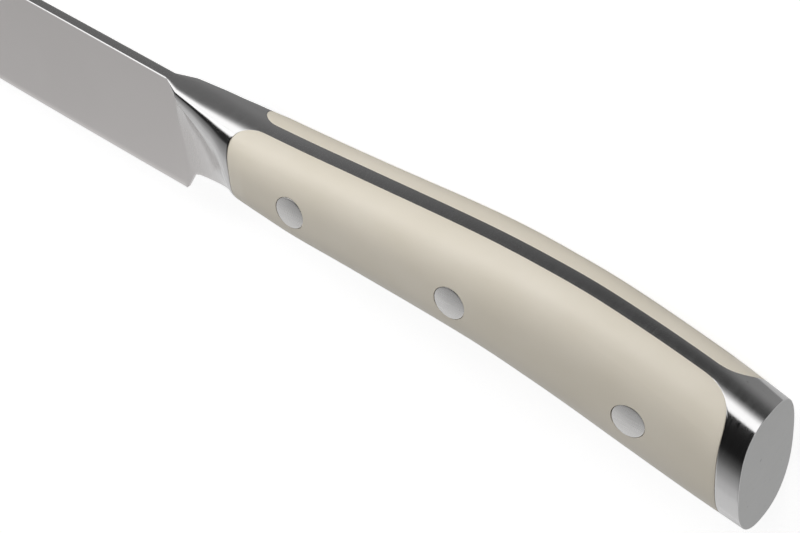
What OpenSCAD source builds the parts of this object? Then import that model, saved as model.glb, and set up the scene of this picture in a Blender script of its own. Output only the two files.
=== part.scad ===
// Carving knife. One steel forging makes the blade, the bolster, the full tang and the butt cap.
// Two moulded scales lie in pockets on the tang, held by three two-part rivets.
// The knife lies on its right side: +X runs to the tip, the spine faces -Y and the left side faces +Z.
// Inside the modules x runs to the tip, y to the left side and z to the spine, from the plunge line.

/* [Blade] */
// Length of the blade from the plunge line to the tip
blade_l = 160; // [120:1:230]
// Depth of the blade at the heel, spine to edge
blade_h = 24.7; // [23:0.1:32]
// Thickness of the spine at the plunge line
spine_t = 2.4; // [1.8:0.1:3]
// Thickness of the spine at the tip
tip_t = 0.9; // [0.6:0.1:1.5]
// Thickness of the blade just above the ground edge
edge_t = 0.5; // [0.3:0.05:0.8]
// Height of the ground edge
edge_h = 0.8; // [0.4:0.1:1.6]
// How far the spine falls from the handle to the tip
tip_drop = 6; // [2:0.5:10]
// How far the edge bows below a straight line
edge_belly = 0.6; // [0:0.1:1.5]
// Radius of the heel's corner
heel_r = 1.2; // [0.5:0.1:2]
// How far the heel reaches behind the plunge line
heel_back = 1.6; // [1:0.1:4]

/* [Handle] */
// Length of the handle along its crown, plunge line to butt
handle_l = 123.1; // [105:0.1:150]
// Full width of the handle at the palm swell
handle_w = 19.14; // [16:0.1:24]
// Depth of the handle at its deepest place, before the butt
handle_h = 23.4; // [20:0.1:28]
// Height of the crown above the line of the spine
crown_rise = 4.64; // [0:0.1:8]
// Lean of the plunge line, run for each unit of height
front_lean = 0.27; // [0:0.01:0.4]
// Lean of the butt and the rear seam, run for each unit of height
butt_lean = 0.18; // [0:0.01:0.35]
// Rounding between the butt's face and the handle
butt_r = 0.6; // [0.3:0.1:2]

/* [Bolster and butt cap] */
// Length of the bolster along the crown, plunge line to front seam
bolster_l = 17.2; // [14:0.1:22]
// Thickness of the butt cap in front of the butt's face
cap_t = 4.2; // [3:0.1:7]
// Radius where the front seam turns into the tang
front_seam_r = 4.8; // [2:0.1:6]
// Radius where the rear seam turns into the tang
rear_seam_r = 6.5; // [2:0.1:7]
// Lean of the front seam, run for each unit of height
seam_lean = 0.17; // [0:0.01:0.4]
// How far the front seam bows towards the butt
seam_bow = 0.4; // [0:0.1:1.2]

/* [Tang and scales] */
// Thickness of the tang between the scales
tang_t = 3.1; // [2.4:0.1:4]
// Gap at the ends of each scale
seam_gap = 0.08; // [0.04:0.01:0.2]

/* [Rivets] */
// Diameter of the rivet heads
head_d = 6.2; // [5.6:0.1:8]
// Thickness of the rivet heads
head_t = 2.4; // [1.8:0.1:3.5]
// Diameter of the sleeve
sleeve_d = 4; // [3.6:0.1:4.8]
// Diameter of the post
post_d = 2.6; // [2:0.1:3]
// Distance from the plunge line to the front rivet
first_rivet = 34; // [31:0.1:38]
// Distance from the rear rivet to the butt's face
last_rivet = 18.7; // [12:0.1:24]
// Height of a head's dome above its rim
dome_h = 0.15; // [0.1:0.01:0.3]
// How far a head stands proud of the scale at its middle
head_proud = 0.05; // [0.02:0.01:0.15]

/* [Hidden] */
$fn = 64;

// Clearance of a rivet in its holes
rivet_gap = 0.03;
// Clearance of a sleeve in the tang
tang_gap = 0.1;
// Free length at the end of a post and of a sleeve
end_gap = 0.4;
// Steel ground off the butt's face
face_trim = 0.02;
// How far a cutting shape runs past what it cuts
overrun = 2;

// Smooth curve through values given at rising shares of a length
function slope_at(s, v, i) =
    let (a = max(i - 1, 0), b = min(i + 1, len(s) - 1)) (v[b] - v[a]) / (s[b] - s[a]);
function span_of(s, x) = max(0, min(len(s) - 2, len([for (k = s) if (k <= x) k]) - 1));
function along(s, v, x) =
    let (
        i = span_of(s, x),
        d = s[i + 1] - s[i],
        t = (x - s[i]) / d,
        rise = v[i + 1] - v[i],
        m0 = slope_at(s, v, i) * d,
        m1 = slope_at(s, v, i + 1) * d
    )
    v[i] + t * (m0 + t * ((3 * rise - 2 * m0 - m1) + t * (m0 + m1 - 2 * rise)));
function mix(a, b, t) = a + (b - a) * t;
function unit(v) = v / norm(v);

// Arc of radius r that rounds the corner b between a and c
function turn(a, b, c, r, steps) =
    let (
        u = unit(a - b),
        v = unit(c - b),
        half = acos(u * v) / 2,
        reach = r / tan(half),
        mid = b + unit(u + v) * r / sin(half)
    )
    [for (k = [0 : steps]) mid + r * unit(mix(b + reach * u, b + reach * v, k / steps) - mid)];

// Triangles between rings of points, with a flat face on the first and the last ring
function skin(rings, sides) = concat(
    [for (i = [0 : rings - 2]) for (j = [0 : sides - 1])
        let (a = i * sides + j, b = i * sides + (j + 1) % sides) [a, b + sides, b]],
    [for (i = [0 : rings - 2]) for (j = [0 : sides - 1])
        let (a = i * sides + j, b = i * sides + (j + 1) % sides) [a, a + sides, b + sides]],
    [[for (j = [0 : sides - 1]) j]],
    [[for (j = [sides - 1 : -1 : 0]) (rings - 1) * sides + j]]
);
function flat(rows) = [for (row = rows) for (p = row) p];

// Outline of the handle from the side, as shares of the handle's length, rise and depth
crown_place_shares = [0, 0.14, 0.24, 0.35, 0.55, 0.65, 0.75, 0.9, 1];
crown_height_shares = [0, 0.037, 0.198, 0.457, 0.909, 1, 0.925, 0.429, -0.16];
depth_place_shares = [0, 0.07, 0.14, 0.24, 0.35, 0.55, 0.75, 0.9, 1];
depth_shares = [0.82, 0.745, 0.668, 0.722, 0.767, 0.845, 0.98, 1, 0.93];
// Half width of the handle, as shares of its half width at the palm swell
width_place_shares = [0.14, 0.24, 0.35, 0.55, 0.75, 0.9, 1];
width_shares = [0.865, 0.905, 0.925, 1, 0.97, 0.943, 0.936];
// Squareness of the handle's section above and below its middle
top_power = 2.84;
bottom_power = 2.34;

function crown_z(u) = crown_rise * along(crown_place_shares, crown_height_shares, u);
function depth(u) = handle_h * along(depth_place_shares, depth_shares, u);
function lean(u) = mix(front_lean, butt_lean, u);
function crown(u) = [-u * handle_l, crown_z(u)];
function belly(u) = crown(u) - depth(u) * [lean(u), 1];
function middle(u) = (crown(u) + belly(u)) / 2;

// The bolster grows out of the blade: its half width, its taper to the belly and its squareness
seam_share = bolster_l / handle_l;
first_share = -0.008;
flare_place_shares = [first_share, 0.012, 0.055, 0.09, 0.125, 0.17];
flare_shares = [0.07, 0.25, 0.37, 0.53, 0.745, 0.88];
taper_shares = [0.6, 0.6, 0.45, 0.25, 0.02, 0];
power_shares = [5, 4, 2.4, 1.6, 1.2, 1];
bolster_end = flare_place_shares[5] * bolster_l / (0.14 * handle_l);
function bolster_place(u) = first_share + (u - first_share) * (flare_place_shares[5] - first_share)
    / (bolster_end - first_share);
function in_bolster(u) = u < bolster_end;
function half_width(u) = handle_w / 2 * (in_bolster(u)
    ? along(flare_place_shares, flare_shares, bolster_place(u))
    : along(width_place_shares, width_shares, u));
function taper(u) = in_bolster(u) ? along(flare_place_shares, taper_shares, bolster_place(u)) : 0;
function power(u) = in_bolster(u) ? along(flare_place_shares, power_shares, bolster_place(u)) : 1;

// One point of a section: a is the angle round it from the left side over the crown
function oval_point(u, a, inset, back) =
    let (
        n = power(u) * (sin(a) > 0 ? top_power : bottom_power),
        reach = pow(pow(abs(cos(a)), n) + pow(abs(sin(a)), n), -1 / n),
        up = reach * sin(a),
        y = (half_width(u) - inset) * reach * cos(a) * (1 + taper(u) * up),
        p = middle(u) + (crown(u) - belly(u)) / 2 * up * (1 - 2 * inset / depth(u))
    )
    [p.x - back, y, p.y];

// The blade's outline, from its spine at height 0 to its edge
blade_root_share = 0.23;
heel_place = -blade_root_share * blade_h;
function spine_z(x) = -tip_drop * pow(max(x, 0) / blade_l, 3);
function edge_z(x) =
    let (s = max(x, 0) / blade_l)
    -blade_h - edge_belly * 4 * s * (1 - s) + (blade_h - tip_drop) * pow(s, 5);
function blade_ring(x) =
    let (
        s = max(x, 0) / blade_l,
        low = edge_z(x),
        high = x < 0 ? -overrun : spine_z(x),
        t = mix(spine_t, tip_t, s),
        h = min(edge_h, (high - low) / 2),
        e = min(edge_t, t)
    )
    [[x, t / 2, high], [x, -t / 2, high], [x, -e / 2, low + h], [x, 0, low], [x, e / 2, low + h]];
blade_place_shares = [0, 0.13, 0.26, 0.39, 0.52, 0.62, 0.7, 0.77, 0.83, 0.88, 0.92, 0.95, 0.975, 0.99, 0.998];
blade_rings = [
    for (x = concat([heel_place, -overrun / 2, -overrun / 4], blade_l * blade_place_shares)) blade_ring(x)
];

// Rings of the handle, close together in the bolster and at the butt
ring_sides = 44;
bolster_steps = 14;
grip_steps = 34;
butt_steps = 3;
butt_start = 1 - butt_r / handle_l;
ring_angles = [for (j = [0 : ring_sides - 1]) -(j + 0.5) * 360 / ring_sides];
handle_rings = concat(
    [for (k = [0 : bolster_steps - 1])
        let (u = mix(first_share, seam_share, k / bolster_steps))
        [for (a = ring_angles) oval_point(u, a, 0, 0)]],
    [for (k = [0 : grip_steps])
        let (u = mix(seam_share, butt_start, k / grip_steps))
        [for (a = ring_angles) oval_point(u, a, 0, 0)]],
    [for (k = [1 : butt_steps])
        let (t = 90 * k / butt_steps)
        [for (a = ring_angles) oval_point(butt_start, a, butt_r * (1 - cos(t)), butt_r * sin(t))]]
);

// Place of the front and the rear seam at a height
function bow(z) = seam_bow * max(0, 1 - pow(1 + 4 * z / handle_h, 2));
function front_seam(z) = -bolster_l + seam_lean * (z - crown_z(seam_share)) - bow(z);
function rear_seam(z) = crown(1).x + butt_lean * (z - crown(1).y) + cap_t;

// Corners of a pocket at a height, from the open side round the tang
pocket_steps = 9;
corner_steps = 8;
pocket_low = belly(0.9).y - overrun;
pocket_high = crown_rise + overrun;
pocket_open = handle_w / 2 + overrun;
function pocket_ring(z, gap) =
    let (
        a = [front_seam(z) - gap, pocket_open],
        b = [front_seam(z) - gap, tang_t / 2],
        c = [rear_seam(z) + gap, tang_t / 2],
        d = [rear_seam(z) + gap, pocket_open],
        loop = concat([a], turn(a, b, c, front_seam_r, corner_steps),
            turn(b, c, d, rear_seam_r, corner_steps), [d])
    )
    [for (p = loop) [p.x, p.y, z]];
pocket_sides = 2 * corner_steps + 4;

// Rivet places: on the middle of the handle, lifted a little at the front
rivet_lift_shares = [0.04, 0.02, -0.01];
rivet_pitch = (handle_l - first_rivet - last_rivet) / 2;
function share_at(x) = let (u = -x / handle_l) -(x + lean(u) * depth(u) / 2) / handle_l;
function rivet_share(i) = share_at(-first_rivet - i * rivet_pitch);
function rivet_place(i) = middle(rivet_share(i)) + [0, rivet_lift_shares[i] * depth(rivet_share(i))];
function rivet_top(i) = half_width(rivet_share(i)) + head_proud;

// Box of the whole knife, which sets the origin below its middle
handle_points = flat(handle_rings);
blade_points = flat(blade_rings);
low_x = min([for (p = handle_points) p.x]) + face_trim;
high_x = max([for (p = blade_points) p.x]);
low_z = min([for (p = blade_points) p.z]);
high_z = max([for (p = handle_points) p.z]);
widest = max(concat([for (p = handle_points) p.y], [for (i = [0 : 2]) rivet_top(i)]));

module lying() {
    translate([-(low_x + high_x) / 2, (low_z + high_z) / 2, widest])
        rotate([90, 0, 0])
            children();
}

// Solid of the whole handle, from the bolster's start to the butt's face
module handle_form() {
    polyhedron(handle_points, skin(len(handle_rings), ring_sides));
}

// Space behind the butt's face, which grinds it flat
module behind_butt() {
    top = crown(butt_start);
    translate([top.x - butt_r + face_trim, 0, top.y])
        rotate([0, atan(lean(butt_start)), 0])
            translate([-handle_w, -handle_w, -2 * handle_h])
                cube([handle_w, 2 * handle_w, 3 * handle_h]);
}

// Space that a scale fills, on the left side of the tang
module left_pocket(gap) {
    heights = [for (k = [0 : pocket_steps]) mix(pocket_high, pocket_low, k / pocket_steps)];
    polyhedron(flat([for (z = heights) pocket_ring(z, gap)]), skin(len(heights), pocket_sides));
}

module pocket(side, gap) {
    if (side > 0) left_pocket(gap);
    else mirror([0, 1, 0]) left_pocket(gap);
}

// Cylinder along a rivet, from one distance to another from the tang's middle
module across(i, d, from, to) {
    p = rivet_place(i);
    translate([p.x, from, p.y])
        rotate([-90, 0, 0])
            cylinder(h = to - from, d = d);
}

// Side outline of the blade's back end, with the heel's corner and the notch behind it
notch_share = 0.085;
module heel_outline() {
    heel = [-heel_back, -blade_h];
    notch = [-heel_back - notch_share * blade_h, belly(0).y - heel_r / 2];
    back = [heel_place - overrun, belly(0).y + overrun];
    front = [overrun, -blade_h];
    polygon(concat(
        [[overrun, overrun], [back.x, overrun]],
        [back],
        turn(back, notch, heel, heel_r, corner_steps),
        turn(notch, heel, front, heel_r, corner_steps),
        [[overrun, -blade_h - edge_belly]]
    ));
}

module blade_form() {
    intersection() {
        polyhedron(blade_points, skin(len(blade_rings), 5));
        union() {
            rotate([90, 0, 0])
                linear_extrude(height = 2 * spine_t, center = true)
                    heel_outline();
            translate([0, -spine_t, -2 * blade_h])
                cube([blade_l + overrun, 2 * spine_t, 3 * blade_h]);
        }
    }
}

module blade_with_tang() {
    color("lightgray")
        lying()
            difference() {
                union() {
                    blade_form();
                    handle_form();
                }
                behind_butt();
                pocket(1, 0);
                pocket(-1, 0);
                for (i = [0 : 2]) across(i, sleeve_d + 2 * tang_gap, -tang_t, tang_t);
            }
}

// A scale is the part of the handle's form that fills its pocket, drilled for the rivets
module scale_on(side) {
    difference() {
        intersection() {
            handle_form();
            pocket(side, seam_gap);
        }
        for (i = [0 : 2]) {
            across(i, sleeve_d + 2 * rivet_gap, -pocket_open, pocket_open);
            seat = rivet_top(i) - head_t;
            if (side > 0) across(i, head_d + 2 * rivet_gap, seat, pocket_open);
            else across(i, head_d + 2 * rivet_gap, -pocket_open, -seat);
        }
    }
}

module left_scale() {
    color("antiquewhite") lying() scale_on(1);
}

module right_scale() {
    color("antiquewhite") lying() scale_on(-1);
}

// Head on the left side, ground to a low dome
dome_sides = 720;
module head(i) {
    r = (pow(head_d / 2, 2) + pow(dome_h, 2)) / (2 * dome_h);
    top = rivet_top(i);
    p = rivet_place(i);
    translate([p.x, 0, p.y])
        rotate([-90, 0, 0])
            rotate_extrude()
                intersection() {
                    translate([0, top - head_t]) square([head_d / 2, head_t]);
                    translate([0, top - r]) circle(r = r, $fn = dome_sides);
                }
}

module rivet_post(i) {
    color("silver")
        lying()
            union() {
                head(i);
                across(i, post_d, head_t + end_gap - rivet_top(i), rivet_top(i) - head_t / 2);
            }
}

module rivet_sleeve(i) {
    seat = rivet_top(i) - head_t;
    color("silver")
        lying()
            difference() {
                union() {
                    mirror([0, 1, 0]) head(i);
                    across(i, sleeve_d, -seat - head_t / 2, seat - end_gap);
                }
                across(i, post_d + 2 * rivet_gap, -seat, seat);
            }
}

module front_rivet_post() { rivet_post(0); }
module front_rivet_sleeve() { rivet_sleeve(0); }
module middle_rivet_post() { rivet_post(1); }
module middle_rivet_sleeve() { rivet_sleeve(1); }
module rear_rivet_post() { rivet_post(2); }
module rear_rivet_sleeve() { rivet_sleeve(2); }

blade_with_tang();
left_scale();
right_scale();
front_rivet_post();
front_rivet_sleeve();
middle_rivet_post();
middle_rivet_sleeve();
rear_rivet_post();
rear_rivet_sleeve();
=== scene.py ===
from math import acos, atan2, cos, pi, radians, sin, tan

import bpy
from mathutils import Matrix, Vector


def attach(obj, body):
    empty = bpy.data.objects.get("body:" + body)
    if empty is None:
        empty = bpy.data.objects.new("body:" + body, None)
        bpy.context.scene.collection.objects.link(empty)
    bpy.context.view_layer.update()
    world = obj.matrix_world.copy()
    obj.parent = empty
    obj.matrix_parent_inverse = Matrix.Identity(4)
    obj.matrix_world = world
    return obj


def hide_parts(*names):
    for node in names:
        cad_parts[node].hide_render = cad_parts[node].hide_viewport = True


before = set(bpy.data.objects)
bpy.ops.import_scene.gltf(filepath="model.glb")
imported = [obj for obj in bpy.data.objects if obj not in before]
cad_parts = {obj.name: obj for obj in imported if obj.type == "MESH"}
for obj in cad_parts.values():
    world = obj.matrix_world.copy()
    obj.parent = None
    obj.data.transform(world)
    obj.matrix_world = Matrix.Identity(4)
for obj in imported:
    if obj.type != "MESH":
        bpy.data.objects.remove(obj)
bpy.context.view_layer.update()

# Sizes of the knife in millimetres, with x to the tip, y to the left side and z to the spine; leans, shares
# and lifts are ratios
BLADE_L = 160
BLADE_H = 24.7
SPINE_T = 2.4
TIP_T = 0.9
EDGE_T = 0.5
EDGE_H = 0.8
TIP_DROP = 6
EDGE_BELLY = 0.575
TIP_SHARE = 0.9979
HEEL_BACK = 1.6
HEEL_R = 1.2
NOTCH_BACK = 2.1
HANDLE_L = 123.1
HANDLE_W = 19.14
HANDLE_H = 23.4
CROWN_RISE = 4.637
FRONT_LEAN = 0.27
BUTT_LEAN = 0.177
BUTT_R = 0.1
FACE_TRIM = 0.02
BOLSTER_L = 17.2
CAP_T = 4.2
FRONT_SEAM_R = 4.8
REAR_SEAM_R = 6.5
SEAM_LEAN = 0.17
SEAM_BOW = 0.4
SEAM_GAP = 0.08
TANG_T = 3.1
HEAD_D = 6.2
HEAD_T = 2.4
SLEEVE_D = 4
POST_D = 2.6
DOME_H = 0.15
HEAD_PROUD = 0.049
RIVET_GAP = 0.05
END_GAP = 0.4
FIRST_RIVET = 34
LAST_RIVET = 18.7
RIVET_LIFTS = (0.04, 0.02, -0.01)
RIVET_NAMES = ("front", "middle", "rear")

# Outline and width of the handle, as shares of its length, rise, depth and half width, and the taper and
# the powers of its oval
CROWN_PLACES = (0, 0.14, 0.24, 0.35, 0.55, 0.65, 0.75, 0.9, 1)
CROWN_HEIGHTS = (0, 0.037, 0.198, 0.457, 0.909, 1, 0.925, 0.429, -0.16)
DEPTH_PLACES = (0, 0.07, 0.14, 0.24, 0.35, 0.55, 0.75, 0.9, 1)
DEPTHS = (0.82, 0.745, 0.668, 0.722, 0.767, 0.845, 0.98, 1, 0.93)
WIDTH_PLACES = (0.14, 0.24, 0.35, 0.55, 0.75, 0.9, 1)
WIDTHS = (0.865, 0.905, 0.925, 1, 0.97, 0.943, 0.936)
BOLSTER_PLACES = (0.012, 0.055, 0.09, 0.125, 0.17)
BOLSTER_WIDTHS = (0.25, 0.37, 0.53, 0.745, 0.88)
BOLSTER_TAPERS = (0.6, 0.45, 0.25, 0.02, 0)
TOP_POWERS = (7, 5.4, 4, 3.3, 2.84)
LOW_POWERS = (9.4, 5.6, 3.7, 2.8, 2.34)

# Bevel of the spine's corners, as shares of the half thickness
BEVEL_ACROSS = 0.2
BEVEL_DOWN = 0.07

# The face of the blade ends at the plunge line: its place at each height, and the rise's length and power
PLUNGE_HEIGHTS = (-25, -17.5, -13.5, -8.2, -5.3, -3.7, -2, -1.1, -0.5, -0.25, -0.12, 0)
PLUNGE_STARTS = (-4, -2.5, -1.6, -0.4, 0, 0.1, 0.25, 0.4, 0.65, 1.1, 1.8, 2.6)
PLUNGE_RUNS = (15, 15, 15, 14, 11, 8, 4, 2.8, 2.6, 2.7, 3.3, 4.1)
PLUNGE_POWERS = (2.4, 2.4, 2.3, 2, 1.8, 1.7, 1.4, 1.2, 1, 1, 1, 1)

# The lower edge of a row leans back from here to the heel, and the rows stand closer from the plunge on
LEAN_FROM = 40
PLUNGE_FROM = 6
HEEL_FROM = 1.6
# Near the tip the ground edge and the bevel take at most these shares of the blade's depth
EDGE_LIMIT = 1 / 3
BEVEL_LIMIT = 1 / 8
# The notch's fillet meets the belly here, and the seams are first looked for here, as shares of the length
NOTCH_END = 0.04
FRONT_GUESS = 0.13
REAR_GUESS = 0.95
# Steps towards a seam's place and a point's angle, which stays just short of the full width
GUESS_STEPS = 7
ANGLE_STEPS = 5
NEAR_FULL = 0.999

# Rows of the mesh from the tip to the butt, columns from the crown round the left side to the belly, and
# how they crowd
BLADE_ROWS = 48
PLUNGE_ROWS = 20
HEEL_STEPS = 6
NOTCH_STEPS = 3
BOLSTER_ROWS = 60
GRIP_ROWS = 130
CAP_ROWS = 14
BUTT_ROWS = 5
TANG_COLUMNS = 4
CORNER_COLUMNS = 14
BEVEL_COLUMNS = 4
SIDE_COLUMNS = 46
SIDE_CROWDING = 1.8
BOLSTER_CROWDING = 1.3
COLUMN_LEAD = 1.5
COLUMNS = 2 * (TANG_COLUMNS + CORNER_COLUMNS) + SIDE_COLUMNS

# Small eases, rings and turned steps of the pieces, in millimetres and degrees
FACE_RING = 0.08
SEAM_EASE = 0.04
SCALE_EASE = 0.1
STEM_EASE = 0.2
HEAD_GAP = 0.07
RIM_R = 0.12
RIM_STEPS = 4
DOME_STEPS = 10
TURNED_STEPS = 96
FORGING_ANGLE = 31
SMOOTH_ANGLE = 35
FLAT_ANGLE = 1

# In metres and in the frame: the spine's end at the plunge line and the butt's direction
PLACE = Vector((-16.384, -10.249, 9.613)) / 1000
BUTT_NORMAL = Vector((-1, -BUTT_LEAN, 0)).normalized()
# Vertices this near, in metres, are one, and places are compared to a tenth of a micrometre
SKIN_MERGE = 2e-6
TURNED_MERGE = 1e-6
PLACES_PER_METRE = 1e7
# How squarely a face looks to the side or to the butt; only the butt's face has more corners than this
SIDE_FACING = 0.8
BUTT_FACING = 0.999
FLAT_FACING = 0.9999
BUTT_CORNERS = 50

# The finishes: the plain colour, metallic and roughness, then tones, spans of roughness and of the noise,
# strength and height of the relief, and cells of grain per metre
NOISE_SPAN = (0.3, 0.7)
BUFFED_PLAIN = ((0.62, 0.61, 0.61), 1, 0.16)
BUFFED_TONE = (0.62, 0.615, 0.615)
BUFFED_PIT = (0.4, 0.39, 0.39)
BUFFED_ROUGHNESS = (0.13, 0.19)
BUFFED_RELIEF = (0.1, 1.5e-6)
BUFFED_LINES = (5000, 250, 250)
BUFFED_PITS = (2200, 2200, 2200)
BUFFED_PIT_SPAN = (0.755, 0.8)
GROUND_PLAIN = ((0.65, 0.63, 0.62), 1, 0.3)
GROUND_TONE = (0.655, 0.63, 0.62)
GROUND_DARK = (0.64, 0.615, 0.605)
GROUND_LIGHT = (0.67, 0.645, 0.635)
GROUND_ROUGHNESS = (0.28, 0.31)
GROUND_RELIEF = (0.05, 1e-6)
GROUND_LINES = (9000, 90, 90)
GROUND_CLOUDS = (40, 25, 25)
# The butt face's steel is set darker than the rest of the same forging as painted shade; its darker specks
# are real
BUTT_SHADED_PLAIN = ((0.5, 0.5, 0.5), 1, 0.4)
BUTT_SHADED_TONE = (0.5, 0.5, 0.495)
BUTT_PIT = (0.34, 0.34, 0.34)
BUTT_ROUGHNESS = (0.36, 0.44)
BUTT_RELIEF = (0.12, 1e-6)
BUTT_LINES = (300, 5000, 300)
BUTT_PITS = (1700, 1700, 1700)
BUTT_PIT_SPAN = (0.74, 0.8)
CREAM_PLAIN = ((0.78, 0.72, 0.61), 0, 0.4)
CREAM_DARK = (0.765, 0.705, 0.59)
CREAM_LIGHT = (0.8, 0.742, 0.635)
CREAM_ROUGHNESS = (0.34, 0.44)
CREAM_RELIEF = (0.12, 4e-6)
CREAM_CLOUDS = (70, 110, 110)
CREAM_SKIN = (1800, 1800, 1800)
RIVET_PLAIN = ((0.72, 0.71, 0.7), 1, 0.28)
RIVET_DARK = (0.71, 0.7, 0.69)
RIVET_LIGHT = (0.74, 0.73, 0.72)
RIVET_ROUGHNESS = (0.26, 0.31)
RIVET_RELIEF = (0.06, 1e-6)
RIVET_LINES = (300, 4500, 300)
RIVET_CLOUDS = (900, 900, 900)
# The blade's grinding fades into the bolster's polish along the slanted plunge line, in metres
PLUNGE_SLANT = 0.22
FADE_ALONG = (-0.036, -0.0165)
FADE_DOWN = (-0.0072, 0.0)

# Camera at the photograph's viewing angle
CAMERA_PLACE = Vector((-0.19263, -0.19654, 0.19045))
CAMERA_RIGHT = Vector((-0.78732, -0.06632, -0.61297))
CAMERA_UP = Vector((0.45377, -0.73540, -0.50327))
CAMERA_LENS = 76.16
CAMERA_SENSOR = 36
CAMERA_NEAR = 0.01

# Light of the studio and its floor
FLOOR_SIZE = 6
FLOOR_PLAIN = ((0.7, 0.7, 0.7), 0, 0.9)
FLOOR_GLOW = 0.7
WORLD_LIGHT = 0.365
KEY_PLACE = Vector((0.35, -0.8, 0.3))
KEY_TARGET = Vector((0.05, 0, 0))
KEY_SIZE = (1.3, 0.65)
KEY_POWER = 6.6
# Brightness that the steel sees over the knife, from the spine's side to the edge's side
SKY_LEVELS = ((0, 1.7), (0.1, 1.7), (0.115, 0.01), (0.44, 0.01), (0.53, 0.03), (0.595, 0.085),
              (0.645, 0.165), (0.7, 0.34), (0.745, 0.47), (0.785, 0.78), (1, 0.8))
# The same towards the tip
SKY_TO_TIP = ((0, 1.7), (0.12, 1.7), (0.14, 0.02), (0.33, 0.035), (0.4, 0.2), (0.6, 0.36), (0.76, 0.52),
              (0.8, 0.63), (0.85, 0.67), (1, 0.74))
# The same behind the butt
SKY_BEHIND = ((0, 0.5), (0.5, 0.45), (0.58, 0.2), (0.7, 0.34), (0.785, 0.78), (1, 0.8))
# Spans of direction where the sky changes to the tip's, to the one behind the butt, and darkens low on the
# spine's side
TIP_SPAN = (0.5, 0.68)
BEHIND_SPAN = (-0.25, -0.45)
DARK_SIDE_SPAN = (-0.1, 0.1)
DARK_RISE_SPAN = (0.115, 0.13)
# The painted reflection of the knife's shadow beside the spine: its reach along the knife, the crown's rise
# there, and its brightness
CARD_LENGTH = (-0.142, 0.0)
CARD_CROWN = ((0, 0), (0.1, 0.43), (0.23, 0.925), (0.32, 1), (0.41, 0.91), (0.58, 0.46), (0.68, 0.2),
              (0.86, 0))
CARD_ACROSS = (-0.04, -0.01)
CARD_DIM = ((0, 0), (0.4, 0.4), (0.52, 1), (1, 1))
CARD_NEAR = ((0.62, 0), (0.68, 0.1), (0.78, 0.8), (0.85, 1))
CARD_BRIGHT = ((0, 1.6), (0.16, 1.3), (0.32, 0.8), (0.42, 0.35), (0.55, 0))
DIM_TO_TIP = ((0, 0.05), (0.1, 0.06), (0.5, 0.11), (0.8, 0.16), (1, 0.17))
NEAR_TO_TIP = ((0, 0.27), (0.1, 0.2), (0.25, 0.1), (0.5, 0.08), (1, 0.12))
# Middle and size of each glowing sheet on the floor, which shows only in the steel as a painted reflection,
# and the brightness of the plain ones
PAINTED_SPINE_SHADOW = ((0.1, -0.1475, 0.0004), (0.8, 0.305))
PAINTED_BUTT_REFLECTION = ((-0.2165, 0.04, 0.0005), (0.175, 0.1))
PAINTED_BUTT_REFLECTION_GLOW = 0.62
PAINTED_EDGE_REFLECTION = ((0.935, 0.52, 0.0004), (2.13, 1))
PAINTED_EDGE_REFLECTION_GLOW = 0.75


def mix(a, b, t):
    return a + (b - a) * t


def clamp(t):
    return min(max(t, 0), 1)


def slope_at(places, values, i):
    low = max(i - 1, 0)
    high = min(i + 1, len(places) - 1)
    return (values[high] - values[low]) / (places[high] - places[low])


def along(places, values, x):
    """Smooth curve through values given at rising places."""
    x = min(max(x, places[0]), places[-1])
    i = max(k for k in range(len(places) - 1) if k == 0 or places[k] <= x)
    d = places[i + 1] - places[i]
    t = (x - places[i]) / d
    rise = values[i + 1] - values[i]
    m0 = slope_at(places, values, i) * d
    m1 = slope_at(places, values, i + 1) * d
    return values[i] + t * (m0 + t * ((3 * rise - 2 * m0 - m1) + t * (m0 + m1 - 2 * rise)))


def lying(x, y, z):
    """The knife lies on its right side: the left side faces up and the spine faces -Y."""
    return Vector((x, -z, y)) / 1000


def crown(u):
    return -u * HANDLE_L, CROWN_RISE * along(CROWN_PLACES, CROWN_HEIGHTS, u)


def depth(u):
    return HANDLE_H * along(DEPTH_PLACES, DEPTHS, u)


def lean(u):
    return mix(FRONT_LEAN, BUTT_LEAN, u)


def belly(u):
    x, z = crown(u)
    return x - depth(u) * lean(u), z - depth(u)


def half_width(u):
    if u < BOLSTER_PLACES[-1]:
        return HANDLE_W / 2 * along(BOLSTER_PLACES, BOLSTER_WIDTHS, u)
    return HANDLE_W / 2 * along(WIDTH_PLACES, WIDTHS, u)


def oval_point(u, a, inset=0, back=0):
    """Point of the handle's section u, at angle a from the left side over the crown."""
    taper = along(BOLSTER_PLACES, BOLSTER_TAPERS, u)
    n = along(BOLSTER_PLACES, TOP_POWERS if sin(a) > 0 else LOW_POWERS, u)
    reach = (abs(cos(a)) ** n + abs(sin(a)) ** n) ** (-1 / n)
    up = reach * sin(a)
    y = (half_width(u) - inset) * reach * cos(a) * (1 + taper * up)
    share = up * (1 - 2 * inset / depth(u))
    top = crown(u)
    low = belly(u)
    x = (top[0] + low[0]) / 2 + (top[0] - low[0]) / 2 * share - back
    z = (top[1] + low[1]) / 2 + (top[1] - low[1]) / 2 * share
    return x, y, z


def spine_z(x):
    return -TIP_DROP * (max(x, 0) / BLADE_L) ** 3


def edge_z(x):
    s = max(x, 0) / BLADE_L
    return -BLADE_H - EDGE_BELLY * 4 * s * (1 - s) + (BLADE_H - TIP_DROP) * s ** 5


def half_thickness(x, z):
    """Half thickness of the blade at a place on its side."""
    s = max(x, 0) / BLADE_L
    spine = mix(SPINE_T, TIP_T, s) / 2
    down = clamp((spine_z(x) - z) / max(spine_z(x) - edge_z(x), EDGE_H))
    return mix(spine, min(EDGE_T / 2, spine), down)


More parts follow.
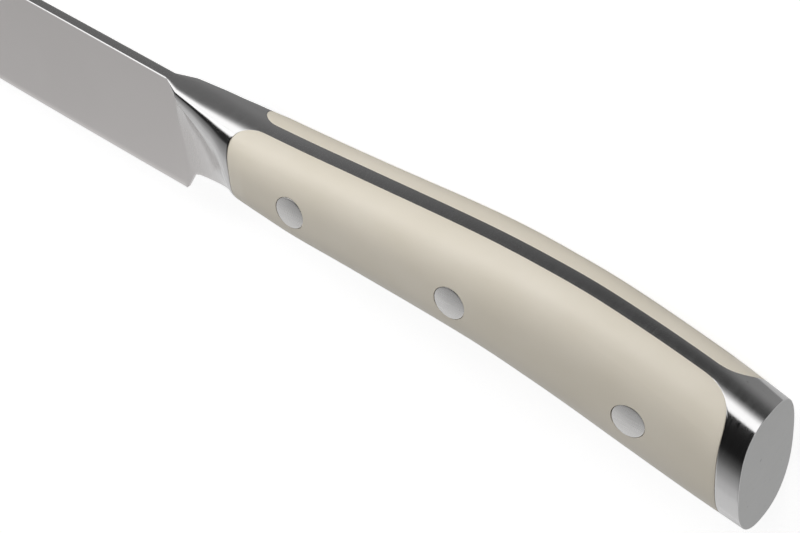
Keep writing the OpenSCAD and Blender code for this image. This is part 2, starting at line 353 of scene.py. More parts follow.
def blade_point(top, low, peak, a):
    """Point of the blade's section: a flat spine with bevelled corners, flat sides and the ground edge."""
    reach = 1 / max(abs(cos(a)), abs(sin(a)))
    up = reach * sin(a)
    height = top[1] - low[1]
    rise = min(peak, height * EDGE_LIMIT)
    half = half_thickness(top[0], mix(top[1], low[1], clamp((1 - up) / 2)))
    drop = min(BEVEL_DOWN * half, height * BEVEL_LIMIT)
    y = half * reach * abs(cos(a))
    if sin(a) > abs(cos(a)):
        down = drop * clamp(1 - (1 - y / half) / BEVEL_ACROSS)
    elif sin(a) < -abs(cos(a)):
        down = height - rise * y / half
    else:
        down = mix(drop, height - rise, (1 - up) / 2)
    x = mix(top[0], low[0], down / height)
    z = mix(top[1], low[1], down / height)
    return x, y, z


def plunge_share(x, z):
    """How far a point has risen from the blade's face to the bolster, quickly at first."""
    start = along(PLUNGE_HEIGHTS, PLUNGE_STARTS, z)
    run = along(PLUNGE_HEIGHTS, PLUNGE_RUNS, z)
    power = along(PLUNGE_HEIGHTS, PLUNGE_POWERS, z)
    return 1 - (1 - clamp((start - x) / run)) ** power


def front_point(top, low, peak, u, a):
    """Point of a section in front of the seam, from the blade's form to the bolster's."""
    flat = blade_point(top, low, peak, a)
    w = plunge_share(flat[0], flat[2])
    if w == 0:
        return flat
    full = oval_point(max(u, 0), a)
    if u <= 0:
        share = (full[2] - belly(0)[1]) / (crown(0)[1] - belly(0)[1])
        full = mix(low[0], top[0], share), full[1], mix(low[1], top[1], share)
    return tuple(mix(p, q, w) for p, q in zip(flat, full))


def turn(a, b, c, r, steps):
    """Arc of radius r that rounds the corner b between a and c."""
    a, b, c = Vector(a), Vector(b), Vector(c)
    u = (a - b).normalized()
    v = (c - b).normalized()
    half = acos(u.dot(v)) / 2
    reach = r / tan(half)
    middle = b + (u + v).normalized() * r / sin(half)
    chord = [(b + reach * u).lerp(b + reach * v, k / steps) - middle for k in range(steps + 1)]
    return [tuple(middle + r * p.normalized()) for p in chord]


def heel_path():
    """Bottom points round the heel's corner, up the notch and into the belly of the bolster."""
    heel = (-HEEL_BACK, -BLADE_H)
    notch = (-HEEL_BACK - NOTCH_BACK, belly(0)[1] - HEEL_R / 2)
    corner = turn((0, -BLADE_H), heel, notch, HEEL_R, HEEL_STEPS)
    fillet = turn(heel, notch, belly(NOTCH_END), HEEL_R, HEEL_STEPS)
    start = Vector(corner[-1])
    straight = [tuple(start.lerp(Vector(fillet[0]), k / NOTCH_STEPS)) for k in range(1, NOTCH_STEPS)]
    return corner + straight + fillet


def seam_bow(z):
    """The front seam's bow over the upper half of the handle's side."""
    return SEAM_BOW * max(0, 1 - (1 + 4 * z / HANDLE_H) ** 2)


def front_seam(z):
    at_crown = crown(BOLSTER_L / HANDLE_L)[1]
    return -BOLSTER_L + SEAM_LEAN * (z - at_crown) - seam_bow(z)


def rear_seam(z):
    x, top = crown(1)
    return x + BUTT_LEAN * (z - top) + CAP_T


def angle_at(u, y, side):
    """Angle of the point of section u that lies y from the middle plane, on the crown or the belly."""
    taper = along(BOLSTER_PLACES, BOLSTER_TAPERS, u)
    n = along(BOLSTER_PLACES, TOP_POWERS if side > 0 else LOW_POWERS, u)
    wide = half_width(u)
    up = 1
    for _ in range(ANGLE_STEPS):
        p = min(y / (wide * (1 + side * taper * up)), NEAR_FULL)
        up = (1 - p ** n) ** (1 / n)
    return side * atan2(up, p)


def corner_offset(column, r):
    """Distance from the tang's face of a column in the rounded corner of a seam."""
    return r * (1 - cos(pi / 2 * clamp(column / CORNER_COLUMNS)))


def column_angle(u, column, r):
    """Angle of a mesh column at section u, where the seam's corner has radius r."""
    side = 1 if column <= COLUMNS / 2 else -1
    k = min(column, COLUMNS - column)
    if k == 0:
        return side * pi / 2
    if k <= TANG_COLUMNS:
        return angle_at(u, TANG_T / 2 * k / TANG_COLUMNS, side)
    if k <= TANG_COLUMNS + CORNER_COLUMNS:
        return angle_at(u, TANG_T / 2 + corner_offset(k - TANG_COLUMNS, r), side)
    high = angle_at(u, TANG_T / 2 + r, 1)
    low = angle_at(u, TANG_T / 2 + r, -1)
    return mix(high, low, (column - TANG_COLUMNS - CORNER_COLUMNS) / SIDE_COLUMNS)


def seam_ring(seam, r, way, guess):
    """Section share and angle of each column where it meets a seam; way is 1 towards the butt."""
    ring = []
    for column in range(COLUMNS + 1):
        k = min(column, COLUMNS - column) - TANG_COLUMNS
        inward = r * (1 - sin(pi / 2 * clamp(k / CORNER_COLUMNS)))
        u = guess
        for _ in range(GUESS_STEPS):
            a = column_angle(u, column, r)
            x, _, z = oval_point(u, a)
            u += (x - seam(z) + way * inward) / HANDLE_L
        ring.append((u, column_angle(u, column, r)))
    return ring


def blade_angle(column):
    """Angle of a column on the blade; columns crowd on the spine's bevel and just below it."""
    corner = TANG_COLUMNS + CORNER_COLUMNS
    k = min(column, COLUMNS - column)
    if k > corner:
        share = (column - corner) / SIDE_COLUMNS
        return atan2(1 - 2 * share ** SIDE_CROWDING, 1)
    if column > corner:
        return -atan2(1, k / corner)
    if k > corner - BEVEL_COLUMNS:
        return atan2(1, 1 - BEVEL_ACROSS * (corner - k) / BEVEL_COLUMNS)
    return atan2(1, (1 - BEVEL_ACROSS) * k / (corner - BEVEL_COLUMNS))


def blade_row(x):
    """Row across the blade from the spine at x; towards the heel the rows lean back."""
    lean_share = clamp((LEAN_FROM - x) / (LEAN_FROM - HEEL_FROM)) ** 2
    foot = x - (HEEL_FROM + HEEL_BACK) * lean_share
    top = (x, spine_z(x))
    low = (foot, edge_z(foot))
    return [front_point(top, low, EDGE_H, -1, blade_angle(j)) for j in range(COLUMNS + 1)]


def blade_rows():
    """Rows from the tip to the heel, closer together from the plunge on."""
    rows = []
    for i in range(BLADE_ROWS):
        rows.append(blade_row(mix(TIP_SHARE * BLADE_L, PLUNGE_FROM, 1 - (1 - i / BLADE_ROWS) ** 2)))
    for i in range(PLUNGE_ROWS):
        rows.append(blade_row(mix(PLUNGE_FROM, HEEL_FROM, i / PLUNGE_ROWS)))
    return rows


def heel_rows():
    """Rows whose lower ends follow the heel's corner and the notch."""
    path = heel_path()
    rows = []
    for i, foot in enumerate(path):
        x = mix(HEEL_FROM, 0, i / len(path))
        peak = EDGE_H * clamp(1 - i / HEEL_STEPS)
        rows.append([front_point((x, 0), foot, peak, -1, blade_angle(j)) for j in range(COLUMNS + 1)])
    return rows


def bolster_rows(front):
    """Rows from the plunge line to the front seam."""
    rows = []
    for i in range(BOLSTER_ROWS):
        t = (i / BOLSTER_ROWS) ** BOLSTER_CROWDING
        row = []
        for j, (seam_u, seam_a) in enumerate(front):
            u = seam_u * t
            a = mix(blade_angle(j), seam_a, clamp(t * COLUMN_LEAD))
            row.append(front_point(crown(u), belly(u), 0, u, a))
        rows.append(row)
    return rows


def grip_rows(front, rear):
    """Rows between the two seams."""
    rows = []
    for i in range(GRIP_ROWS):
        t = i / GRIP_ROWS
        r = mix(FRONT_SEAM_R, REAR_SEAM_R, t)
        row = []
        for j in range(COLUMNS + 1):
            u = mix(front[j][0], rear[j][0], t)
            row.append(oval_point(u, column_angle(u, j, r)))
        rows.append(row)
    return rows


def cap_rows(rear):
    """Rows from the rear seam over the rounded edge of the butt."""
    butt = 1 - BUTT_R / HANDLE_L
    rows = []
    for i in range(CAP_ROWS + 1):
        rows.append([oval_point(mix(u, butt, i / CAP_ROWS), a) for u, a in rear])
    for i in range(1, BUTT_ROWS + 1):
        t = pi / 2 * i / BUTT_ROWS
        inset = BUTT_R * (1 - cos(t))
        back = (BUTT_R - FACE_TRIM) * sin(t)
        rows.append([oval_point(butt, a, inset, back) for _, a in rear])
    return rows


def handle_rows(gap):
    """Rows of points of the left half, with the first row of the grip and of the cap."""
    front = seam_ring(lambda z: front_seam(z) - gap, FRONT_SEAM_R, 1, FRONT_GUESS)
    rear = seam_ring(lambda z: rear_seam(z) + gap, REAR_SEAM_R, -1, REAR_GUESS)
    rows = blade_rows() + heel_rows() + bolster_rows(front)
    first_grip = len(rows)
    rows += grip_rows(front, rear)
    first_cap = len(rows)
    rows += cap_rows(rear)
    return rows, first_grip, first_cap


def rivet_section(i):
    x = -FIRST_RIVET - i * (HANDLE_L - FIRST_RIVET - LAST_RIVET) / 2
    u = -x / HANDLE_L
    return -(x + lean(u) * depth(u) / 2) / HANDLE_L


def rivet_place(i):
    """Place of a rivet's axis, and the height of its head's top over the middle plane."""
    u = rivet_section(i)
    x = (crown(u)[0] + belly(u)[0]) / 2
    z = (crown(u)[1] + belly(u)[1]) / 2 + RIVET_LIFTS[i] * depth(u)
    return x, z, half_width(u) + HEAD_PROUD


steel_rows, grip_row, cap_row = handle_rows(0)
scale_rows = handle_rows(SEAM_GAP)[0]


def finish(name, colour, metallic, roughness):
    """A new material with its plain values, and its node tree and shader."""
    m = bpy.data.materials.new(name)
    m.use_nodes = True
    shader = m.node_tree.nodes["Principled BSDF"]
    shader.inputs["Base Color"].default_value = (*colour, 1)
    shader.inputs["Metallic"].default_value = metallic
    shader.inputs["Roughness"].default_value = roughness
    return m, m.node_tree, shader


def feed(tree, socket, value):
    """Links a socket to another one, or sets it to a plain value."""
    if isinstance(value, bpy.types.NodeSocket):
        tree.links.new(value, socket)
    else:
        socket.default_value = value


def reckon(tree, operation, a, b):
    node = tree.nodes.new("ShaderNodeMath")
    node.operation = operation
    feed(tree, node.inputs[0], a)
    feed(tree, node.inputs[1], b)
    return node.outputs[0]


def blend(tree, factor, a, b, kind="FLOAT"):
    """Number or colour between a and b."""
    node = tree.nodes.new("ShaderNodeMix")
    node.data_type = kind
    feed(tree, node.inputs["Factor"], factor)
    feed(tree, node.inputs["A"], a)
    feed(tree, node.inputs["B"], b)
    return node.outputs["Result"]


def map_range(tree, value, source, target=(0, 1)):
    node = tree.nodes.new("ShaderNodeMapRange")
    tree.links.new(value, node.inputs["Value"])
    for name, number in zip(("From Min", "From Max", "To Min", "To Max"), (*source, *target)):
        node.inputs[name].default_value = number
    return node.outputs[0]


def ramp(tree, value, stops):
    """Brightness that follows a value from 0 to 1 through stops of place and level."""
    node = tree.nodes.new("ShaderNodeValToRGB")
    bands = node.color_ramp.elements
    while len(bands) < len(stops):
        bands.new(1)
    for band, (place, level) in zip(bands, stops):
        band.position = place
        band.color = (level, level, level, 1)
    tree.links.new(value, node.inputs[0])
    return node.outputs[0]


def split_place(tree, source):
    """The x, y and z of the piece's own coordinates, or of the sky's direction."""
    node = tree.nodes.new("ShaderNodeSeparateXYZ")
    tree.links.new(tree.nodes.new("ShaderNodeTexCoord").outputs[source], node.inputs[0])
    return node.outputs


def grain(tree, stretch, detail=3.0):
    """Noise on the piece itself; stretch gives its cells per metre along each axis."""
    mapping = tree.nodes.new("ShaderNodeMapping")
    mapping.inputs["Scale"].default_value = stretch
    tree.links.new(tree.nodes.new("ShaderNodeTexCoord").outputs["Object"], mapping.inputs["Vector"])
    noise = tree.nodes.new("ShaderNodeTexNoise")
    noise.inputs["Scale"].default_value = 1
    noise.inputs["Detail"].default_value = detail
    tree.links.new(mapping.outputs[0], noise.inputs["Vector"])
    return noise.outputs[0]


def tones(tree, value, span, dark, light):
    """Colour between two tones as the value goes through a span."""
    return blend(tree, map_range(tree, value, span), (*dark, 1), (*light, 1), "RGBA")


def add_relief(tree, shader, value, relief):
    """Bump of a strength and a height in metres."""
    bump = tree.nodes.new("ShaderNodeBump")
    bump.inputs["Strength"].default_value = relief[0]
    bump.inputs["Distance"].default_value = relief[1]
    tree.links.new(value, bump.inputs["Height"])
    tree.links.new(bump.outputs[0], shader.inputs["Normal"])


def plunge_fade(tree):
    """1 on the blade and 0 on the bolster, with a soft change over the lower flank between them."""
    place = split_place(tree, "Object")
    slant = reckon(tree, "MULTIPLY", place["Y"], PLUNGE_SLANT)
    across = map_range(tree, reckon(tree, "ADD", place["X"], slant), FADE_ALONG)
    return reckon(tree, "MULTIPLY", across, map_range(tree, place["Y"], FADE_DOWN))


def buffed_steel():
    """Bolster, spine, tang and butt cap: buffed across, with a few dark pits."""
    m, tree, shader = finish("buffed_steel", *BUFFED_PLAIN)
    fade = plunge_fade(tree)
    lines = grain(tree, BUFFED_LINES)
    add_relief(tree, shader, lines, BUFFED_RELIEF)
    polished = map_range(tree, lines, NOISE_SPAN, BUFFED_ROUGHNESS)
    ground = map_range(tree, lines, NOISE_SPAN, GROUND_ROUGHNESS)
    feed(tree, shader.inputs["Roughness"], blend(tree, fade, polished, ground))
    pitted = tones(tree, grain(tree, BUFFED_PITS, detail=1), BUFFED_PIT_SPAN, BUFFED_TONE, BUFFED_PIT)
    feed(tree, shader.inputs["Base Color"], blend(tree, fade, pitted, (*GROUND_TONE, 1), "RGBA"))
    return m


def ground_blade():
    """Blade sides: fine satin grinding from the spine to the edge."""
    m, tree, shader = finish("ground_blade", *GROUND_PLAIN)
    lines = grain(tree, GROUND_LINES)
    add_relief(tree, shader, lines, GROUND_RELIEF)
    feed(tree, shader.inputs["Roughness"], map_range(tree, lines, NOISE_SPAN, GROUND_ROUGHNESS))
    clouds = grain(tree, GROUND_CLOUDS)
    feed(tree, shader.inputs["Base Color"], tones(tree, clouds, NOISE_SPAN, GROUND_DARK, GROUND_LIGHT))
    return m


def ground_butt():
    """Butt face: fine even satin with specks, in a tone darker than the rest of the same steel as painted
    shade.
    """
    m, tree, shader = finish("ground_butt", *BUTT_SHADED_PLAIN)
    lines = grain(tree, BUTT_LINES)
    add_relief(tree, shader, lines, BUTT_RELIEF)
    feed(tree, shader.inputs["Roughness"], map_range(tree, lines, NOISE_SPAN, BUTT_ROUGHNESS))
    pits = grain(tree, BUTT_PITS, detail=1)
    feed(tree, shader.inputs["Base Color"], tones(tree, pits, BUTT_PIT_SPAN, BUTT_SHADED_TONE, BUTT_PIT))
    return m


def moulded_cream():
    """Cream plastic of the scales: soft sheen, faint mottling and a fine skin."""
    m, tree, shader = finish("moulded_cream", *CREAM_PLAIN)
    clouds = grain(tree, CREAM_CLOUDS, detail=4)
    feed(tree, shader.inputs["Base Color"], tones(tree, clouds, NOISE_SPAN, CREAM_DARK, CREAM_LIGHT))
    skin = grain(tree, CREAM_SKIN, detail=2)
    feed(tree, shader.inputs["Roughness"], map_range(tree, skin, NOISE_SPAN, CREAM_ROUGHNESS))
    add_relief(tree, shader, skin, CREAM_RELIEF)
    return m


def satin_rivet():
    """Rivet heads: ground flush in one pass, so that the lines run straight across them."""
    m, tree, shader = finish("satin_rivet", *RIVET_PLAIN)
    lines = grain(tree, RIVET_LINES)
    feed(tree, shader.inputs["Roughness"], map_range(tree, lines, NOISE_SPAN, RIVET_ROUGHNESS))
    add_relief(tree, shader, lines, RIVET_RELIEF)
    clouds = grain(tree, RIVET_CLOUDS)
    feed(tree, shader.inputs["Base Color"], tones(tree, clouds, NOISE_SPAN, RIVET_DARK, RIVET_LIGHT))
    return m


def select_only(piece):
    bpy.ops.object.select_all(action="DESELECT")
    piece.select_set(True)
    bpy.context.view_layer.objects.active = piece


def edit(piece, mode="VERT"):
    """Edit mode with nothing selected, in vertex, edge or face mode."""
    select_only(piece)
    bpy.ops.object.mode_set(mode="EDIT")
    bpy.ops.mesh.select_mode(type=mode)
    bpy.ops.mesh.select_all(action="DESELECT")


def finish_edit():
    bpy.ops.object.mode_set(mode="OBJECT")


def choose(piece, kind, test):
    """Selects the vertices, edges or polygons that pass a test, in edit mode."""
    bpy.ops.object.mode_set(mode="OBJECT")
    for part in getattr(piece.data, kind):
        part.select = test(part)
    bpy.ops.object.mode_set(mode="EDIT")


def apply_modifier(piece, kind, **settings):
    select_only(piece)
    made = piece.modifiers.new(kind.lower(), kind)
    for name, value in settings.items():
        setattr(made, name, value)
    bpy.ops.object.modifier_apply(modifier=made.name)


def place_key(co):
    """A vertex's place to a tenth of a micrometre."""
    return tuple(round(c * PLACES_PER_METRE) for c in co)


def skin_grid(name, rows):
    """A grid over the left half of the handle; each vertex goes to its row and column."""
    bpy.ops.object.select_all(action="DESELECT")
    last = len(rows) - 1
    bpy.ops.mesh.primitive_grid_add(x_subdivisions=last, y_subdivisions=COLUMNS, size=1)
    piece = bpy.context.object
    piece.name = name
    piece.data.name = name
    grid = {}
    for v in piece.data.vertices:
        i = round((v.co.x + 0.5) * last)
        j = round((v.co.y + 0.5) * COLUMNS)
        grid[v.index] = (i, j)
        v.co = lying(*rows[i][j])
    return piece, grid


def in_pocket(face, grid):
    """Whether a face of the grid belongs to the scale."""
    i = min(grid[v][0] for v in face.vertices)
    j = min(grid[v][1] for v in face.vertices)
    return grip_row <= i < cap_row and TANG_COLUMNS <= j < COLUMNS - TANG_COLUMNS


def sink_to_tang():
    """Extrudes the selected faces straight down to the tang's face, and cleans up there."""
    bpy.ops.mesh.extrude_region_move()
    bpy.ops.transform.resize(value=(1, 1, 0), center_override=lying(0, TANG_T / 2, 0))
    bpy.ops.mesh.dissolve_limited(angle_limit=radians(FLAT_ANGLE))
    bpy.ops.mesh.select_all(action="SELECT")
    bpy.ops.mesh.remove_doubles(threshold=SKIN_MERGE)
    bpy.ops.mesh.normals_make_consistent(inside=False)


def seam_keys(rows):
    """Places of the seam's vertices, without the edges along the tang."""
    inner = range(TANG_COLUMNS + 2, COLUMNS - TANG_COLUMNS - 1)
    return {place_key(lying(*rows[i][j])) for i in (grip_row, cap_row) for j in inner}


def ease_seams(piece, rows, width):
    """Small bevel along the seams."""
    keys = seam_keys(rows)
    where = {v.index for v in piece.data.vertices if place_key(v.co) in keys}
    edit(piece, "EDGE")
    choose(piece, "edges", lambda e: e.vertices[0] in where and e.vertices[1] in where)
    bpy.ops.mesh.bevel(offset=width / 1000, segments=2, affect="EDGES", clamp_overlap=True)
    finish_edit()


def move_to_place(piece):
    edit(piece)
    bpy.ops.mesh.select_all(action="SELECT")
    bpy.ops.mesh.normals_make_consistent(inside=False)
    bpy.ops.transform.translate(value=PLACE)
    finish_edit()


def smooth(piece, angle=SMOOTH_ANGLE):
    select_only(piece)
    bpy.ops.object.shade_smooth_by_angle(angle=radians(angle))


def hand_over(piece, node):
    """The piece stands for its CAD node and rides with the knife."""
    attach(piece, "root")
    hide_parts(node)


def close_end(piece, rows, row):
    """Closes the blade's tip or the butt with a flat face."""
    keys = {place_key(lying(*p)) for p in rows[row]}
    keys |= {(x, y, -z) for x, y, z in keys}
    where = {v.index for v in piece.data.vertices if place_key(v.co) in keys}
    edit(piece, "EDGE")
    choose(piece, "edges", lambda e: e.vertices[0] in where and e.vertices[1] in where)
    bpy.ops.mesh.edge_face_add()
    finish_edit()


def is_butt_face(face):
    return face.normal.dot(BUTT_NORMAL) > BUTT_FACING and len(face.vertices) > BUTT_CORNERS


def rest_butt_face(piece):
    """Narrow ring inside the butt's face, so that the face stays flat to its edge."""
    edit(piece, "FACE")
    choose(piece, "polygons", is_butt_face)
    bpy.ops.mesh.inset(thickness=FACE_RING / 1000)
    finish_edit()


def turned(name, profile, side=1):
    """A turned piece: its profile, in radius and height, is spun once round the Z axis."""
    bpy.ops.object.select_all(action="DESELECT")
    bpy.ops.mesh.primitive_plane_add(size=0.001)
    piece = bpy.context.object
    piece.name = name
    piece.data.name = name
    bpy.ops.object.mode_set(mode="EDIT")
    bpy.ops.mesh.select_mode(type="VERT")
    bpy.ops.mesh.select_all(action="SELECT")
    bpy.ops.mesh.merge(type="CENTER")
    points = [Vector((r, 0, z)) / 1000 for r, z in profile]
    bpy.ops.transform.translate(value=points[0])
    for here, there in zip(points, points[1:]):
        bpy.ops.mesh.extrude_vertices_move(TRANSFORM_OT_translate={"value": there - here})
    bpy.ops.mesh.select_all(action="SELECT")
    bpy.ops.mesh.spin(steps=TURNED_STEPS, angle=2 * pi, center=(0, 0, 0), axis=(0, 0, 1))
    bpy.ops.mesh.select_all(action="SELECT")
    bpy.ops.mesh.remove_doubles(threshold=TURNED_MERGE)
    if side < 0:
        bpy.ops.transform.resize(value=(1, 1, -1), center_override=(0, 0, 0))
    bpy.ops.mesh.normals_make_consistent(inside=False)
    finish_edit()
    return piece


def set_at_rivet(piece, i):
    """Moves a turned piece onto a rivet's axis."""
    x, z, _ = rivet_place(i)
    edit(piece)
    bpy.ops.mesh.select_all(action="SELECT")
    bpy.ops.transform.translate(value=lying(x, 0, z) + PLACE)
    finish_edit()


def head_profile(i):
    """Edge and low dome of a rivet's head, from its seat to its middle."""
    top = rivet_place(i)[2]
    r = HEAD_D / 2
    rim = top - DOME_H
    points = [(r, top - HEAD_T), (r, rim - RIM_R)]
    for k in range(1, RIM_STEPS + 1):
        t = pi / 2 * k / RIM_STEPS
        points.append((r - RIM_R * (1 - cos(t)), rim - RIM_R * (1 - sin(t))))
    inner = r - RIM_R
    for k in range(1, DOME_STEPS + 1):
        share = 1 - k / DOME_STEPS
        points.append((inner * share, top - DOME_H * share ** 2))
    return points


def rivet_post(i):
    """Post half of a rivet, with its head on the left side."""
    top = rivet_place(i)[2]
    low = HEAD_T + END_GAP - top
    r = POST_D / 2
    profile = [(0, low), (r - STEM_EASE, low), (r, low + STEM_EASE), (r, top - HEAD_T)]
    piece = turned(RIVET_NAMES[i] + "_turned_post", profile + head_profile(i))
    set_at_rivet(piece, i)
    smooth(piece)
    hand_over(piece, RIVET_NAMES[i] + "_rivet_post")
    return piece


def rivet_sleeve(i):
    """Bored sleeve half of a rivet, with its head on the right side."""
    top = rivet_place(i)[2]
    seat = top - HEAD_T
    mouth = END_GAP - seat
    r = SLEEVE_D / 2
    bore = POST_D / 2 + RIVET_GAP
    profile = [(0, seat), (bore, seat), (bore, mouth + STEM_EASE), (bore + STEM_EASE, mouth)]
    profile += [(r - STEM_EASE, mouth), (r, mouth + STEM_EASE), (r, seat)]
    piece = turned(RIVET_NAMES[i] + "_turned_sleeve", profile + head_profile(i), -1)
    set_at_rivet(piece, i)
    smooth(piece)
    hand_over(piece, RIVET_NAMES[i] + "_rivet_sleeve")
    return piece


def drill(piece, i, profile, side=1):
    """Drills a stepped hole on a rivet's axis."""
    drill_bit = turned("drill_bit", profile, side)
    set_at_rivet(drill_bit, i)
    apply_modifier(piece, "BOOLEAN", operation="DIFFERENCE", solver="EXACT", object=drill_bit)
    bpy.data.objects.remove(drill_bit)


def scale_hole(i):
    """Hole for a rivet in a scale, with a seat for the head."""
    seat = rivet_place(i)[2] - HEAD_T
    r = SLEEVE_D / 2 + RIVET_GAP
    wide = HEAD_D / 2 + HEAD_GAP
    return [(0, 0), (r, 0), (r, seat), (wide, seat), (wide, HANDLE_W), (0, HANDLE_W)]


def tang_hole():
    r = SLEEVE_D / 2 + RIVET_GAP
    return [(0, -TANG_T), (r, -TANG_T), (r, TANG_T), (0, TANG_T)]


def knife_place(co):
    """Place on the knife in millimetres of a point of the frame: x to the tip, y left, z to the spine."""
    p = (Vector(co) - PLACE) * 1000
    return p.x, p.z, -p.y


def on_blade_side(face):
    x, y, z = knife_place(face.center)
    return x > along(PLUNGE_HEIGHTS, PLUNGE_STARTS, z) and abs(face.normal.z) > SIDE_FACING


def on_butt(face):
    return face.normal.dot(BUTT_NORMAL) > FLAT_FACING


def finish_faces(piece, material, test):
    """Gives the faces that pass a test another finish."""
    piece.data.materials.append(material)
    edit(piece, "FACE")
    choose(piece, "polygons", test)
    piece.active_material_index = len(piece.data.materials) - 1
    bpy.ops.object.material_slot_assign()
    finish_edit()


def forge_steel():
    """Blade, bolster, tang and butt cap in one piece, with a pocket on each side."""
    piece, grid = skin_grid("steel_forging", steel_rows)
    edit(piece, "FACE")
    choose(piece, "polygons", lambda f: in_pocket(f, grid))
    sink_to_tang()
    finish_edit()
    ease_seams(piece, steel_rows, SEAM_EASE)
    apply_modifier(piece, "MIRROR", use_axis=(False, False, True), merge_threshold=SKIN_MERGE)
    close_end(piece, steel_rows, 0)
    close_end(piece, steel_rows, -1)
    rest_butt_face(piece)
    move_to_place(piece)
    for i in range(len(RIVET_NAMES)):
        drill(piece, i, tang_hole())
    smooth(piece, FORGING_ANGLE)
    piece.data.materials.append(buffed_steel())
    finish_faces(piece, ground_blade(), on_blade_side)
    finish_faces(piece, ground_butt(), on_butt)
    hand_over(piece, "blade_with_tang")
    return piece


def mould_scale(name, node, side):
    """Cream scale of the left side, or its mirror twin."""
    piece, grid = skin_grid(name, scale_rows)
    edit(piece, "FACE")
    choose(piece, "polygons", lambda f: not in_pocket(f, grid))
    bpy.ops.mesh.delete(type="FACE")
    bpy.ops.mesh.select_all(action="SELECT")
    sink_to_tang()
    finish_edit()
    ease_seams(piece, scale_rows, SCALE_EASE)
    if side < 0:
        edit(piece)
        bpy.ops.mesh.select_all(action="SELECT")
        bpy.ops.transform.resize(value=(1, 1, -1), center_override=(0, 0, 0))
        finish_edit()
    move_to_place(piece)
    for i in range(len(RIVET_NAMES)):
        drill(piece, i, scale_hole(i), side)
    smooth(piece)
    piece.data.materials.append(cream_plastic)
    hand_over(piece, node)
    return piece


cream_plastic = moulded_cream()
rivet_steel = satin_rivet()
forge_steel()
mould_scale("left_cream_scale", "left_scale", 1)
mould_scale("right_cream_scale", "right_scale", -1)
for i in range(len(RIVET_NAMES)):
    for half in (rivet_post(i), rivet_sleeve(i)):
        half.data.materials.append(rivet_steel)


def add_camera():
    data = bpy.data.cameras.new("camera")
    data.lens = CAMERA_LENS
    data.sensor_width = CAMERA_SENSOR
    data.clip_start = CAMERA_NEAR
    camera = bpy.data.objects.new("camera", data)
    bpy.context.scene.collection.objects.link(camera)
    back = CAMERA_RIGHT.cross(CAMERA_UP)
    turned_to = Matrix((CAMERA_RIGHT, CAMERA_UP, back)).transposed().to_4x4()
    camera.matrix_world = Matrix.Translation(CAMERA_PLACE) @ turned_to
    bpy.context.scene.camera = camera


def lit_floor():
    """Pale floor that reads white to the camera and in the steel, and keeps the knife's shadow."""
    bpy.ops.object.select_all(action="DESELECT")
    bpy.ops.mesh.primitive_plane_add(size=FLOOR_SIZE, location=(0, 0, 0))
    floor = bpy.context.object
    floor.name = "floor"
    m, tree, shader = finish("pale_floor", *FLOOR_PLAIN)
    shader.inputs["Specular IOR Level"].default_value = 0
    shader.inputs["Emission Color"].default_value = (1, 1, 1, 1)
    path = tree.nodes.new("ShaderNodeLightPath").outputs
    seen = reckon(tree, "ADD", path["Is Camera Ray"], path["Is Glossy Ray"])
    seen = reckon(tree, "ADD", seen, path["Is Transmission Ray"])
    feed(tree, shader.inputs["Emission Strength"], map_range(tree, seen, (0, 1), (0, FLOOR_GLOW)))
    floor.data.materials.append(m)


def steel_sky(tree):
    """What the steel sees over the knife: bands that turn from the spine's side to the edge's side."""
    way = split_place(tree, "Generated")
    angle = reckon(tree, "ARCTAN2", way["Z"], reckon(tree, "MULTIPLY", way["Y"], -1))
    over = map_range(tree, angle, (0, pi))
    to_tip = map_range(tree, way["X"], TIP_SPAN)
    level = blend(tree, to_tip, ramp(tree, over, SKY_LEVELS), ramp(tree, over, SKY_TO_TIP))
    level = blend(tree, map_range(tree, way["X"], BEHIND_SPAN), level, ramp(tree, over, SKY_BEHIND))
    side = map_range(tree, way["X"], DARK_SIDE_SPAN)
    shade = reckon(tree, "MAXIMUM", side, map_range(tree, over, DARK_RISE_SPAN))
    return reckon(tree, "MULTIPLY", level, shade)


def light_world():
    """Even light all round, white to the camera, and the studio's sky in the steel."""
    world = bpy.data.worlds.new("world")
    bpy.context.scene.world = world
    world.use_nodes = True
    tree = world.node_tree
    path = tree.nodes.new("ShaderNodeLightPath").outputs
    level = blend(tree, path["Is Glossy Ray"], WORLD_LIGHT, steel_sky(tree))
    background = tree.nodes["Background"]
    background.inputs["Color"].default_value = (1, 1, 1, 1)
    feed(tree, background.inputs["Strength"], reckon(tree, "MAXIMUM", path["Is Camera Ray"], level))


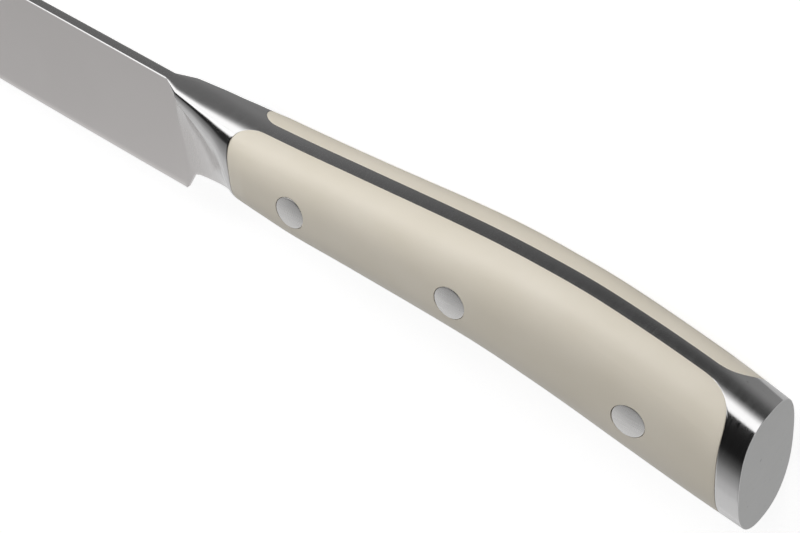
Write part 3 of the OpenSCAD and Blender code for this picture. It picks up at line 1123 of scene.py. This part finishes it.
def soft_box():
    """Broad lamp on the spine's side; the steel doesn't see it."""
    data = bpy.data.lights.new("key", "AREA")
    data.shape = "RECTANGLE"
    data.size = KEY_SIZE[0]
    data.size_y = KEY_SIZE[1]
    data.energy = KEY_POWER
    lamp = bpy.data.objects.new("key", data)
    bpy.context.scene.collection.objects.link(lamp)
    lamp.location = KEY_PLACE
    lamp.rotation_euler = (KEY_TARGET - KEY_PLACE).to_track_quat("-Z", "Y").to_euler()
    lamp.visible_glossy = False


def card(name, middle, size, glow=0.0):
    """Glowing sheet on the floor that only shows in the steel, as a painted reflection; it casts no shadow
    and gives no diffuse light.
    """
    bpy.ops.object.select_all(action="DESELECT")
    bpy.ops.mesh.primitive_plane_add(size=1)
    sheet = bpy.context.object
    sheet.name = name
    sheet.scale = (*size, 1)
    sheet.location = middle
    bpy.ops.object.transform_apply(location=True, rotation=True, scale=True)
    m = bpy.data.materials.new(name)
    m.use_nodes = True
    tree = m.node_tree
    tree.nodes.remove(tree.nodes["Principled BSDF"])
    light = tree.nodes.new("ShaderNodeEmission")
    light.inputs["Strength"].default_value = glow
    tree.links.new(light.outputs[0], tree.nodes["Material Output"].inputs["Surface"])
    sheet.data.materials.append(m)
    sheet.visible_camera = False
    sheet.visible_diffuse = False
    sheet.visible_shadow = False
    sheet.visible_transmission = False
    return tree, light


def painted_spine_shadow():
    """The glowing sheet beside the spine follows the crown: a painted reflection of the knife's shadow on
    the floor, dim next to it, darker beyond, then bright.
    """
    tree, light = card("painted_spine_shadow", *PAINTED_SPINE_SHADOW)
    place = split_place(tree, "Object")
    length = map_range(tree, place["X"], CARD_LENGTH)
    rise = reckon(tree, "MULTIPLY", ramp(tree, length, CARD_CROWN), CROWN_RISE / 1000)
    across = map_range(tree, reckon(tree, "ADD", place["Y"], rise), CARD_ACROSS)
    dim = reckon(tree, "MULTIPLY", ramp(tree, across, CARD_DIM), ramp(tree, length, DIM_TO_TIP))
    near = reckon(tree, "MULTIPLY", ramp(tree, across, CARD_NEAR), ramp(tree, length, NEAR_TO_TIP))
    level = reckon(tree, "ADD", reckon(tree, "ADD", dim, near), ramp(tree, across, CARD_BRIGHT))
    feed(tree, light.inputs["Strength"], level)


add_camera()
lit_floor()
light_world()
soft_box()
# Glowing sheets that show only in the steel: a painted reflection of the knife's shadow beside the spine,
# and painted grey reflections behind the butt and by the edge
painted_spine_shadow()
card("painted_butt_reflection", *PAINTED_BUTT_REFLECTION, PAINTED_BUTT_REFLECTION_GLOW)
card("painted_edge_reflection", *PAINTED_EDGE_REFLECTION, PAINTED_EDGE_REFLECTION_GLOW)
bpy.context.scene.view_settings.view_transform = "Standard"
